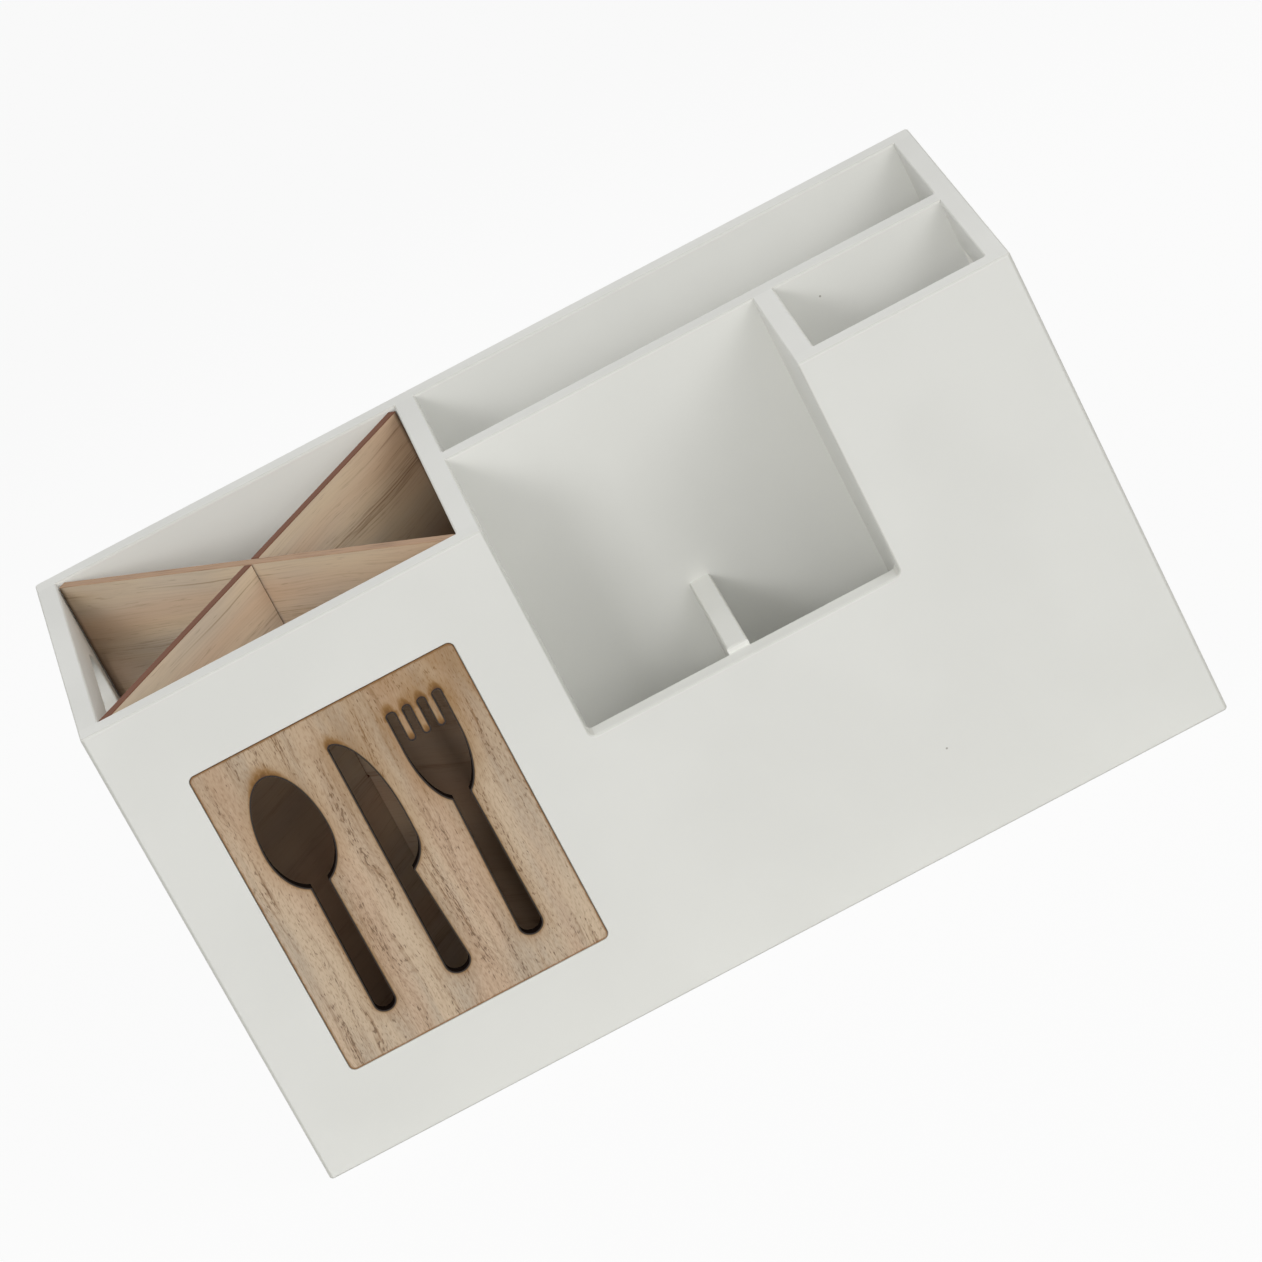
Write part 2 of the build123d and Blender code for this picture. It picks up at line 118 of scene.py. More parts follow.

# Wood: a ring starts sharply and thins out, pores open more where they crowd, a side faces front or
# back, which sets how much painted shade a slat's side gets, and rings wander and blush in spots of these
# proportions
RING_START = 0.08
RING_THINNING = 2.5
SIDE_BAND = (-0.3, 0.3)
CROWD_FADE = 0.24
CROWD_FLOOR = 0.35
PORE_START = 0.66
PORE_CROWDING = 0.16
PORE_FADE = 0.09
WANDER_SLIMNESS = 3
BLUSH_LENGTH = 1.5
BLUSH_WIDTH = 2

# Burn: where the haze starts and how patchy it is, from which strength smoke shows, where a line is
# full, and how many times as wide as a cut's halo its haze is
HAZE_RISE = 0.4
HAZE_SIDES = (0.1, 0.9)
HAZE_PATCHES = (0.7, 1.3)
RAGGED_BAND = (0.2, 0.6)
RAGGED_SMOKE = (0.7, 1.0)
TOASTED_SMOKE = (0.0, 0.6)
DARK_SMOKE = (0.3, 0.95)
FULL_RIM = 0.1
FULL_LINE = 0.4
CHAR_MIX = 0.5
# Share of the crossing's reach where the slats' painted shade is at its least
CROSSING_CORE = 0.2
HAZE_HALOES = 3

# Mesh work: distance at which loose corners join, angle between triangles of one flat side, and angle
# of an edge that gets rounded
WELD = 0.001 * MM
FLAT = math.radians(1)
SHARP = math.radians(60)

# Vertex values of the plaque, which its wood reads
CUT_DISTANCE = "cut_distance"
RIM_DISTANCE = "rim_distance"
SMOKE = "smoke"


def linear(hex_colour):
    """Linear colour with alpha from an sRGB hex value."""
    shares = [int(hex_colour[start:start + 2], 16) / 255 for start in (1, 3, 5)]
    return tuple(s / 12.92 if s <= 0.04045 else ((s + 0.055) / 1.055) ** 2.4 for s in shares) + (1.0,)


def colour_property(name, description, hex_colour):
    """A colour that the sidebar shows, written as sRGB hex."""
    return FloatVectorProperty(
        name=name, description=description, subtype="COLOR", size=4, min=0.0, max=1.0,
        default=linear(hex_colour),
    )


def length_property(name, description, millimetres):
    """A length that the sidebar shows, written in millimetres and kept in metres."""
    return FloatProperty(
        name=name, description=description, unit="LENGTH", precision=5, default=millimetres * MM,
    )


def share_property(name, description, share):
    """A share, mostly from 0 to 1, that the sidebar shows."""
    return FloatProperty(
        name=name, description=description, subtype="FACTOR", soft_min=0.0, soft_max=1.0, default=share,
    )


def angle_property(name, description, degrees):
    """An angle that the sidebar shows, written in degrees."""
    return FloatProperty(
        name=name, description=description, subtype="ANGLE", default=math.radians(degrees),
    )


def power_property(name, description, watts):
    """A lamp's power that the sidebar shows."""
    return FloatProperty(name=name, description=description, unit="POWER", default=watts)


class PaintLooks(bpy.types.PropertyGroup):
    """Satin white paint on the boards."""

    colour: colour_property("Paint", "White of the paint where it is cleanest", "#E2E2DD")
    shade: colour_property("Shaded paint", "White of the paint in its slow clouds", "#DFDFDA")
    speck: colour_property("Speck", "Dust caught in the paint", "#8F8A80")
    # Painted shade: the next colour and share darken the eased edges against the bright line of light
    # they catch
    edge: colour_property("Edge", "Paint worn thin on the eased edges", "#C8C7BF")
    edge_shade_share: share_property("Edge wear", "How much of the worn colour the edges show", 0.6)
    speck_share: share_property("Speck share", "How dark the specks are", 0.75)
    grain_share: share_property("Grain share", "Share of the grain in the relief", 0.6)
    relief: share_property("Relief", "Strength of the relief", 0.35)
    cloud_size: length_property("Cloud size", "Width of the slow clouds in the white", 70.0)
    peel_size: length_property("Peel size", "Width of the soft bumps that spraying leaves", 2.2)
    peel_height: length_property("Peel height", "Height of those bumps", 0.02)
    grain_width: length_property("Grain width", "Spacing of the grain that shows through", 1.6)
    grain_length: length_property("Grain length", "Length of that grain", 70.0)
    speck_spacing: length_property("Speck spacing", "Mean distance between specks in depth", 24.0)
    speck_radius: length_property("Speck radius", "Largest radius of a speck", 0.5)
    roughness: share_property("Roughness", "Roughness of the paint", 0.62)


class WoodSettings:
    """Sizes of sanded paulownia's figure, which each piece of it shares."""

    dash_width: length_property("Pore width", "Width of a pore, drawn wider than real to show", 0.5)
    mottle_width: length_property("Fleck width", "Width of the pale and dark flecks", 0.5)
    pore_depth: length_property("Pore depth", "Depth of an open pore", 0.06)
    relief: share_property("Relief", "Strength of the relief", 0.5)
    fleck_depth: share_property("Fleck depth", "Share of the flecks in the relief", 0.3)
    ring_share: share_property("Ring share", "How dark the rings are", 0.25)
    warm_share: share_property("Warm share", "How strong the pinkish patches are", 0.8)
    roughness: share_property("Roughness", "Roughness of the wood", 0.72)


class PlaqueWood(WoodSettings, bpy.types.PropertyGroup):
    """Wood of the plaque, with short open pores."""

    light: colour_property("Light wood", "Wood between the pores", "#CBB69C")
    grey: colour_property("Grey wood", "Greyish patches", "#B7A793")
    warm: colour_property("Warm wood", "Pinkish patches", "#C5A88D")
    ring: colour_property("Ring", "Brown of the porous part of a growth ring", "#8C7055")
    pore: colour_property("Pore", "Open pores, which hold dust", "#644D39")
    ring_spacing: length_property("Ring spacing", "Width of a growth ring on the face", 9.0)
    ring_wander: length_property("Ring wander", "How far a ring wanders from straight", 5.0)
    wander_length: length_property("Wander length", "Distance over which a ring wanders", 80.0)
    column_width: length_property("Column width", "Width of a column of pores", 4.0)
    column_length: length_property("Column length", "Length of a column of pores", 45.0)
    dash_length: length_property("Pore length", "Length of a pore along the grain", 2.6)
    streak_width: length_property("Streak width", "Width of the long fine streaks", 0.9)
    streak_length: length_property("Streak length", "Length of those streaks", 22.0)
    mottle_length: length_property("Fleck length", "Length of the flecks", 2.4)
    crowding: share_property("Crowding", "Level at which pores stand in columns", 0.4)
    dash_share: share_property("Pore share", "How dark the pores are", 0.75)
    line_share: share_property("Line share", "How dark the long streaks are", 0.85)
    line_floor: share_property("Line floor", "Streaks outside the columns", 0.15)
    fleck_share: share_property("Fleck share", "How strong the flecks are", 0.55)


class SlatWood(WoodSettings, bpy.types.PropertyGroup):
    """Wood of the slats, paler and smoother, with a few bands of fine lines."""

    light: colour_property("Light wood", "Wood between the pores", "#D6C1A4")
    grey: colour_property("Grey wood", "Greyish bands", "#C9B9A5")
    warm: colour_property("Warm wood", "Pinkish bands", "#CFAE8F")
    ring: colour_property("Ring", "Brown of the porous part of a growth ring", "#86684A")
    pore: colour_property("Pore", "Open pores, which hold dust", "#80644A")
    ring_spacing: length_property("Ring spacing", "Width of a growth ring on the face", 17.0)
    ring_wander: length_property("Ring wander", "How far a ring wanders from straight", 5.0)
    wander_length: length_property("Wander length", "Distance over which a ring wanders", 110.0)
    column_width: length_property("Column width", "Width of a band of lines", 8.0)
    column_length: length_property("Column length", "Length of a band of lines", 220.0)
    dash_length: length_property("Pore length", "Length of a pore along the grain", 9.0)
    streak_width: length_property("Streak width", "Width of the long fine streaks", 0.55)
    streak_length: length_property("Streak length", "Length of those streaks", 75.0)
    mottle_length: length_property("Fleck length", "Length of the flecks", 14.0)
    crowding: share_property("Crowding", "Level at which lines stand in bands", 0.45)
    dash_share: share_property("Pore share", "How dark the pores are", 0.3)
    line_share: share_property("Line share", "How dark the long streaks are", 1.0)
    line_floor: share_property("Line floor", "Streaks outside the bands", 0.06)
    fleck_share: share_property("Fleck share", "How strong the flecks are", 0.14)


class PlaqueLooks(bpy.types.PropertyGroup):
    """Plaque with cut-outs burnt through by a laser."""

    char: colour_property("Char", "Burnt wall of a cut", "#120A06")
    scorch: colour_property("Scorch", "Dark line beside a cut", "#0E0704")
    smear: colour_property("Smear", "Brown smoke above the top of a cut", "#4A2A13")
    toast: colour_property("Toast", "Orange-brown halo round a cut", "#8B642F")
    rim: colour_property("Rim", "Brown edge of the plaque", "#80592F")
    cell: length_property("Mesh cell", "Size of the mesh cells that carry the burn", 1.0)
    edge_round: length_property("Edge round", "Rounding of the cut edges", 0.1)
    scorch_reach: length_property("Scorch reach", "Width of the dark line", 0.8)
    toast_reach: length_property("Toast reach", "Width of the halo", 2.4)
    rim_reach: length_property("Rim reach", "Width of the brown line round the plaque", 0.9)
    smoke_reach: length_property("Smoke reach", "Length of the smear above a cut's top", 10.0)
    smoke_width: length_property("Smoke width", "Half width of that smear", 2.2)
    ragged_reach: length_property("Ragged reach", "How far the burn's edge wavers", 0.9)
    ragged_length: length_property("Ragged length", "Length of those waves along the grain", 3.0)
    ragged_width: length_property("Ragged width", "Width of those waves", 1.6)
    drift_length: length_property("Drift length", "Length of the clouds in the haze", 16.0)
    drift_width: length_property("Drift width", "Width of those clouds", 6.0)
    soot_length: length_property("Soot length", "Length of the soot's patches on a wall", 2.5)
    stroke_length: length_property("Stroke length", "Length of the strokes on the outer edge", 3.0)
    stroke_width: length_property("Stroke width", "Width of those patches and strokes", 0.8)
    wall_roughness: share_property("Wall roughness", "Roughness of the burnt walls", 0.9)
    rim_roughness: share_property("Rim roughness", "Roughness of the plaque's outer edge", 0.85)
    wall_gloss: share_property("Wall gloss", "Shine of the burnt walls", 0.05)
    halo_share: share_property("Halo share", "How strong the halo is at the cut", 0.85)
    line_share: share_property("Line share", "How strong the dark line is", 0.97)
    rim_share: share_property("Rim share", "How strong the line round the plaque is", 0.85)
    smear_share: share_property("Smear share", "How strong the smears of smoke are", 0.9)
    haze_near: share_property("Haze near", "Smoke haze beside a cut", 0.25)
    haze_all: share_property("Haze all over", "Smoke haze on the whole front", 0.05)
    haze_left: share_property("Haze top left", "Smoke haze at the top left", 0.15)
    haze_right: share_property("Haze top right", "Smoke haze at the top right", 0.46)


class SlatLooks(bpy.types.PropertyGroup):
    """Two slats that slot into each other."""

    lower_edge: colour_property("Lower slat's edge", "Burnt edge of the lower slat", "#693C23")
    upper_edge: colour_property("Upper slat's edge", "Lighter edge of the upper slat", "#AF8F73")
    char: colour_property("End char", "Burnt ends of the slats", "#4A3322")
    # Painted shade: this colour darkens the slats low down and at their rear ends, where shade falls in
    # the cells
    painted_shade: colour_property("Stain", "Smoke stain low on the slats", "#6A4E38")
    edge_round: length_property("Edge round", "Rounding of the slats' edges", 0.25)
    end_reach: length_property("End reach", "How far the burn runs in from a slat's end", 2.5)
    # Painted shade at the rear ends, where the cell's corner shades the slats; a side that faces back
    # gets less of it and of the shade low down
    soot: share_property("Soot", "Smoke stain on the rear end of a slat", 0.5)
    rear_side_shade: share_property("Rear share", "Share of stain on the rear sides", 0.3)
    rear_shade_start: length_property("Soot start", "How far back of the middle that stain begins", 30.0)
    rear_shade_full: length_property("Soot full", "Height at which that stain is full", 146.0)
    # Painted shade low on the slats: these heights, the share and the crossing's settings say where it is
    # full and where it fades
    shade_top: length_property("Stain top", "Height at which the stain begins", 172.0)
    lower_shade_full: length_property("Lower stain", "Height where the lower slat's stain is full", 104.0)
    upper_shade_full: length_property("Upper stain", "Height where the upper slat's stain is full", 92.0)
    end_burn: share_property("End burn", "How burnt a slat's ends are", 0.85)
    rear_shade_top: share_property("Soot top", "Share of the soot that reaches the rim", 0.35)
    shade_share: share_property("Stain share", "How strong the stain is", 0.8)
    crossing_shade_share: share_property("Clear share", "Share of the stain where the slats cross", 0.72)
    stroke_share: share_property("Stroke share", "How dark the grain shows on a narrow edge", 0.45)
    edge_roughness: share_property("Edge roughness", "Roughness of the narrow edges", 0.8)
    crossing_reach: length_property("Clear reach", "Half width of the cleaner wood at the crossing", 30.0)


class BradLooks(bpy.types.PropertyGroup):
    """Bright steel brads inside the boards."""

    colour: colour_property("Steel", "Bright drawn wire", "#B9BABC")
    dull: colour_property("Dull steel", "Drawing marks on the wire", "#8E9092")
    mark_width: length_property("Mark width", "Spacing of the drawing marks", 0.25)
    mark_length: length_property("Mark length", "Length of the drawing marks", 8.0)
    polish: share_property("Polish", "Roughness of the wire between the marks", 0.28)
    dullness: share_property("Dullness", "Roughness of the wire on the marks", 0.42)


class StageLooks(bpy.types.PropertyGroup):
    """Floor, light and camera."""

    table: colour_property("Table", "Pale floor under and round the box", "#C8C8C6")
    floor: colour_property("Floor", "Floor further off, which throws less light back", "#6E6E6C")
    table_reach: length_property("Table reach", "Distance where the pale floor begins to darken", 450.0)
    floor_size: length_property("Floor size", "Half width of the floor", 9000.0)
    floor_gap: length_property("Floor gap", "How far the floor lies under the box", 0.1)
    glow: share_property("Floor white", "Share of plain white in what the camera sees of the floor", 0.94)
    sky: share_property("Sky", "Strength of the light from all round", 0.285)
    lamp_power: power_property("Lamp", "Power of the large softbox in front", 61.0)
    lamp_width: length_property("Lamp width", "Width of the softboxes in front and behind", 9000.0)
    lamp_depth: length_property("Lamp depth", "Other side of the large softbox", 2800.0)
    lamp_reach: length_property("Lamp distance", "Distance of every softbox from the box", 2400.0)
    lamp_aside: angle_property("Lamp aside", "Turn of the large softbox to the left", 4.0)
    lamp_height: angle_property("Lamp height", "Height angle of the large softbox", 40.0)
    left_power: power_property("Left lamp", "Power of the small softbox on the left", 11.0)
    left_size: length_property("Left lamp size", "Side of the softbox on the left", 550.0)
    left_aside: angle_property("Left lamp aside", "Turn of that softbox to the left", 26.0)
    left_height: angle_property("Left lamp height", "Height angle of that softbox", 24.0)
    right_power: power_property("Right lamp", "Power of the softbox on the right", 13.5)
    right_size: length_property("Right lamp size", "Side of the softbox on the right", 1200.0)
    right_aside: angle_property("Right lamp aside", "Turn of that softbox to the right", 50.0)
    right_height: angle_property("Right lamp height", "Height angle of that softbox", 35.0)
    fill_power: power_property("Fill", "Power of the low softbox behind", 40.0)
    fill_depth: length_property("Fill depth", "Upright side of the softbox behind", 1200.0)
    fill_height: angle_property("Fill height", "Height angle of the softbox behind", 16.0)
    camera_place: FloatVectorProperty(
        name="Camera place", description="Where the camera stands", subtype="XYZ", unit="LENGTH",
        default=(-0.003631, -1.98104, 0.96232),
    )
    camera_down: angle_property("Camera down", "How far the camera looks down", 23.571)
    camera_yaw: angle_property("Camera yaw", "Turn of the camera to the left", -0.248)
    camera_roll: angle_property("Camera roll", "Roll of the camera about its line of sight", 27.619)
    focal_pixels: FloatProperty(
        name="Focal length", description="Focal length in pixels of the square photograph",
        subtype="PIXEL", default=6173.15,
    )


class HolderLooks(bpy.types.PropertyGroup):
    """All settings of the holder's looks."""

    paint: PointerProperty(type=PaintLooks)
    plaque_wood: PointerProperty(type=PlaqueWood)
    slat_wood: PointerProperty(type=SlatWood)
    plaque: PointerProperty(type=PlaqueLooks)
    slats: PointerProperty(type=SlatLooks)
    brads: PointerProperty(type=BradLooks)
    stage: PointerProperty(type=StageLooks)


def add_node(tree, kind, inputs=None, **settings):
    """Add a node with its settings; an input is a value or the socket that feeds it."""
    node = tree.nodes.new(kind)
    for name, value in settings.items():
        setattr(node, name, value)
    for socket, value in (inputs or {}).items():
        if isinstance(value, bpy.types.NodeSocket):
            tree.links.new(value, node.inputs[socket])
        else:
            node.inputs[socket].default_value = value
    return node


def new_material(name):
    """An empty node material with a principled shader on its output."""
    material = bpy.data.materials.new(name)
    material.use_nodes = True
    tree = material.node_tree
    tree.nodes.clear()
    shader = add_node(tree, "ShaderNodeBsdfPrincipled")
    add_node(tree, "ShaderNodeOutputMaterial", {"Surface": shader.outputs["BSDF"]})
    return material, tree, shader


def coordinates(tree, kind):
    """Where a point lies on its object, or which way it faces there."""
    return add_node(tree, "ShaderNodeTexCoord").outputs[kind]


def parts(tree, vector):
    """The X, Y and Z of a vector."""
    return add_node(tree, "ShaderNodeSeparateXYZ", {"Vector": vector}).outputs


def vertex_value(tree, name):
    """A value that the mesh carries on its vertices."""
    return add_node(tree, "ShaderNodeAttribute", attribute_name=name).outputs["Fac"]


def grain_space(tree, turn, place=None):
    """Object coordinates, or place, in millimetres and turned so that the grain runs along X."""
    if place is None:
        place = coordinates(tree, "Object")
    return add_node(
        tree, "ShaderNodeMapping",
        {"Vector": place, "Rotation": turn, "Scale": (1 / MM, 1 / MM, 1 / MM)},
    ).outputs["Vector"]


def stretched_noise(tree, space, along, across, detail):
    """Noise whose spots are as long as along and as wide as across, both in metres."""
    cells = (MM / along, MM / across, MM / across)
    scaled = add_node(tree, "ShaderNodeVectorMath", {0: space, 1: cells}, operation="MULTIPLY")
    noise = add_node(
        tree, "ShaderNodeTexNoise",
        {
            "Vector": scaled.outputs["Vector"], "Scale": 1.0, "Detail": detail,
            "Roughness": NOISE_ROUGHNESS,
        },
    )
    return noise.outputs["Fac"]


def between(tree, value, low, high, to_low=0.0, to_high=1.0):
    """A smooth step of value from low to high."""
    return add_node(
        tree, "ShaderNodeMapRange",
        {"Value": value, "From Min": low, "From Max": high, "To Min": to_low, "To Max": to_high},
        interpolation_type="SMOOTHSTEP",
    ).outputs["Result"]


def calculate(tree, operation, first, *others):
    """A math operation on one value, or on several in turn."""
    for other in others or (0.0,):
        node = add_node(tree, "ShaderNodeMath", {0: first, 1: other}, operation=operation)
        first = node.outputs["Value"]
    return first


def blend_colours(tree, share, first, second):
    """The first colour where share is 0, the second where it is 1."""
    return add_node(
        tree, "ShaderNodeMix", {MIX_FACTOR: share, MIX_A: first, MIX_B: second}, data_type="RGBA",
    ).outputs[MIX_RESULT]


def white_paint(name, paint, turn):
    """Satin alkyd paint sprayed on planed boards.

    The eye sees an even, nearly matt white with slow clouds, soft bumps from spraying, a hint of the
    grain beneath, a few specks of dust and painted shade that dulls the eased edges against the light
    they catch.
    """
    material, tree, shader = new_material(name)
    space = grain_space(tree, turn)
    clouds = stretched_noise(tree, space, paint.cloud_size, paint.cloud_size, FINE)
    peel = stretched_noise(tree, space, paint.peel_size, paint.peel_size, SOFT)
    grain = stretched_noise(tree, space, paint.grain_length, paint.grain_width, SOFT)
    white = blend_colours(tree, between(tree, clouds, *CLOUD_BAND), paint.colour, paint.shade)

    dust = add_node(
        tree, "ShaderNodeTexVoronoi", {"Vector": space, "Scale": MM / paint.speck_spacing},
    )
    radius = paint.speck_radius / paint.speck_spacing
    speck = between(tree, dust.outputs["Distance"], SPECK_CORE * radius, radius, paint.speck_share, 0.0)
    colour = blend_colours(tree, speck, white, paint.speck)

    # Painted shade: eased edges turn darker, which holds down the bright line of light they catch
    facing = coordinates(tree, "Normal")
    sides = add_node(tree, "ShaderNodeVectorMath", {0: facing}, operation="ABSOLUTE").outputs["Vector"]
    part = parts(tree, sides)
    straight = calculate(tree, "MAXIMUM", part["X"], part["Y"], part["Z"])
    eased = between(tree, straight, *EASED_BAND, paint.edge_shade_share, 0.0)
    colour = blend_colours(tree, eased, colour, paint.edge)

    relief = calculate(tree, "ADD", peel, calculate(tree, "MULTIPLY", grain, paint.grain_share))
    bump = add_node(
        tree, "ShaderNodeBump",
        {"Height": relief, "Strength": paint.relief, "Distance": paint.peel_height},
    )
    gloss = between(tree, clouds, *SHEEN_BAND, *(paint.roughness + swing for swing in SHEEN_SWING))
    tree.links.new(colour, shader.inputs["Base Color"])
    tree.links.new(gloss, shader.inputs["Roughness"])
    tree.links.new(bump.outputs["Normal"], shader.inputs["Normal"])
    return material


def wood_figure(tree, wood, space):
    """Colour and relief of flat-sawn paulownia, whose grain runs along X of space."""
    wander = stretched_noise(tree, space, wood.wander_length, wood.wander_length / WANDER_SLIMNESS, FINE)
    swing = calculate(tree, "SUBTRACT", wander, NOISE_MIDDLE)
    aside = calculate(tree, "MULTIPLY", swing, 2 * wood.ring_wander / MM)
    shift = add_node(tree, "ShaderNodeCombineXYZ", {"Z": aside}).outputs["Vector"]
    bent = add_node(tree, "ShaderNodeVectorMath", {0: space, 1: shift}, operation="ADD").outputs["Vector"]

    patches = stretched_noise(tree, bent, wood.wander_length, wood.ring_spacing, FINE)
    blush_length = BLUSH_LENGTH * wood.wander_length
    blush = stretched_noise(tree, bent, blush_length, BLUSH_WIDTH * wood.ring_spacing, SOFT)
    columns = stretched_noise(tree, bent, wood.column_length, wood.column_width, FINE)
    streaks = stretched_noise(tree, bent, wood.streak_length, wood.streak_width, FINE)
    mottle = stretched_noise(tree, bent, wood.mottle_length, wood.mottle_width, SOFT)
    dashes = stretched_noise(tree, bent, wood.dash_length, wood.dash_width, SOFT)

    across = parts(tree, bent)["Z"]
    phase = calculate(tree, "FRACT", calculate(tree, "DIVIDE", across, wood.ring_spacing / MM))
    early = calculate(tree, "POWER", calculate(tree, "SUBTRACT", 1.0, phase), RING_THINNING)
    ring = calculate(tree, "MULTIPLY", early, between(tree, phase, 0.0, RING_START))
    crowded = between(tree, columns, wood.crowding, wood.crowding + CROWD_FADE)
    porous = calculate(tree, "MULTIPLY", calculate(tree, "ADD", ring, CROWD_FLOOR), crowded)

    start = calculate(tree, "SUBTRACT", PORE_START, calculate(tree, "MULTIPLY", porous, PORE_CROWDING))
    pores = between(tree, calculate(tree, "SUBTRACT", dashes, start), 0.0, PORE_FADE)
    lines = between(tree, streaks, *LINE_BAND)
    dark_lines = calculate(tree, "MULTIPLY", lines, calculate(tree, "ADD", porous, wood.line_floor))

    blushed = between(tree, blush, *BLUSH_BAND, 0.0, wood.warm_share)
    dark_flecks = between(tree, mottle, *DARK_FLECK_BAND, 0.0, wood.fleck_share)
    pale_flecks = between(tree, mottle, *PALE_FLECK_BAND, 0.0, wood.fleck_share)
    base = blend_colours(tree, between(tree, patches, *PATCH_BAND), wood.light, wood.grey)
    base = blend_colours(tree, blushed, base, wood.warm)
    base = blend_colours(tree, calculate(tree, "MULTIPLY", porous, wood.ring_share), base, wood.ring)
    base = blend_colours(tree, calculate(tree, "MULTIPLY", dark_lines, wood.line_share), base, wood.ring)
    base = blend_colours(tree, dark_flecks, base, wood.ring)
    base = blend_colours(tree, pale_flecks, base, wood.light)
    colour = blend_colours(tree, calculate(tree, "MULTIPLY", pores, wood.dash_share), base, wood.pore)

    furrows = calculate(tree, "ADD", pores, calculate(tree, "MULTIPLY", mottle, wood.fleck_depth))
    relief = calculate(tree, "SUBTRACT", 1.0, furrows)
    return colour, relief


def dress_wood(tree, shader, wood, colour, relief):
    """Feed colour and relief of bare wood to its shader."""
    bump = add_node(
        tree, "ShaderNodeBump", {"Height": relief, "Strength": wood.relief, "Distance": wood.pore_depth},
    )
    tree.links.new(colour, shader.inputs["Base Color"])
    tree.links.new(bump.outputs["Normal"], shader.inputs["Normal"])
    shader.inputs["Roughness"].default_value = wood.roughness


def plaque_wood(name, wood, plaque, low, high):
    """Sanded paulownia cut by a laser.

    The eye sees upright grain with dark pores, a black line and an orange-brown halo along
    each cut, smears of smoke above the tops of the cuts, a brown haze that has drifted up and to
    the right, and a thin burnt line round the plaque.
    """
    material, tree, shader = new_material(name)
    space = grain_space(tree, GRAIN_UPRIGHT)
    colour, relief = wood_figure(tree, wood, space)
    uneven = stretched_noise(tree, space, plaque.ragged_length, plaque.ragged_width, FINE)
    cloudy = stretched_noise(tree, space, plaque.drift_length, plaque.drift_width, FINE)
    cut = vertex_value(tree, CUT_DISTANCE)
    rim = vertex_value(tree, RIM_DISTANCE)
    smoke = vertex_value(tree, SMOKE)

    swing = calculate(tree, "SUBTRACT", uneven, NOISE_MIDDLE)
    jitter = calculate(tree, "MULTIPLY", swing, plaque.ragged_reach)
    ragged_cut = calculate(tree, "ADD", cut, jitter)
    ragged_rim = calculate(tree, "ADD", rim, jitter)

    part = parts(tree, coordinates(tree, "Object"))
    size = high - low
    risen = between(tree, part["Z"], low.z + HAZE_RISE * size.z, high.z)
    haze_ends = (low.x + side * size.x for side in HAZE_SIDES)
    aside = between(tree, part["X"], *haze_ends, plaque.haze_left, plaque.haze_right)
    patchy = between(tree, cloudy, *SHEEN_BAND, *HAZE_PATCHES)
    drift = calculate(tree, "MULTIPLY", risen, aside, patchy)
    near = between(tree, ragged_cut, 0.0, HAZE_HALOES * plaque.toast_reach, plaque.haze_near, 0.0)
    haze = calculate(tree, "ADD", near, drift, plaque.haze_all)

    halo = between(tree, ragged_cut, 0.0, plaque.toast_reach, plaque.halo_share, 0.0)
    smear = calculate(tree, "MULTIPLY", smoke, between(tree, uneven, *RAGGED_BAND, *RAGGED_SMOKE))
    toast = calculate(tree, "MAXIMUM", halo, haze, between(tree, smear, *TOASTED_SMOKE))
    dark_smear = between(tree, smear, *DARK_SMOKE, 0.0, plaque.smear_share)
    rim_band = (FULL_RIM * plaque.rim_reach, plaque.rim_reach)
    border = between(tree, ragged_rim, *rim_band, plaque.rim_share, 0.0)
    line_band = (FULL_LINE * plaque.scorch_reach, plaque.scorch_reach)
    line = between(tree, cut, *line_band, plaque.line_share, 0.0)

    colour = blend_colours(tree, toast, colour, plaque.toast)
    colour = blend_colours(tree, dark_smear, colour, plaque.smear)
    colour = blend_colours(tree, border, colour, plaque.rim)
    colour = blend_colours(tree, line, colour, plaque.scorch)
    dress_wood(tree, shader, wood, colour, relief)
    return material


def charred_cut(name, plaque):
    """Laser-cut wall of a cut-out: almost black and sooty, in slightly different blacks."""
    material, tree, shader = new_material(name)
    space = grain_space(tree, GRAIN_UPRIGHT)
    soot = stretched_noise(tree, space, plaque.soot_length, plaque.stroke_width, FINE)
    share = between(tree, soot, *CHAR_BAND, 0.0, CHAR_MIX)
    colour = blend_colours(tree, share, plaque.char, plaque.scorch)
    tree.links.new(colour, shader.inputs["Base Color"])
    shader.inputs["Roughness"].default_value = plaque.wall_roughness
    shader.inputs["Specular IOR Level"].default_value = plaque.wall_gloss
    return material


def toasted_rim(name, plaque):
    """Outer edge of the plaque: brown from the laser, with paler strokes of grain."""
    material, tree, shader = new_material(name)
    space = grain_space(tree, GRAIN_UPRIGHT)
    strokes = stretched_noise(tree, space, plaque.stroke_length, plaque.stroke_width, FINE)
    colour = blend_colours(tree, between(tree, strokes, *STROKE_BAND), plaque.rim, plaque.toast)
    tree.links.new(colour, shader.inputs["Base Color"])
    shader.inputs["Roughness"].default_value = plaque.rim_roughness
    return material


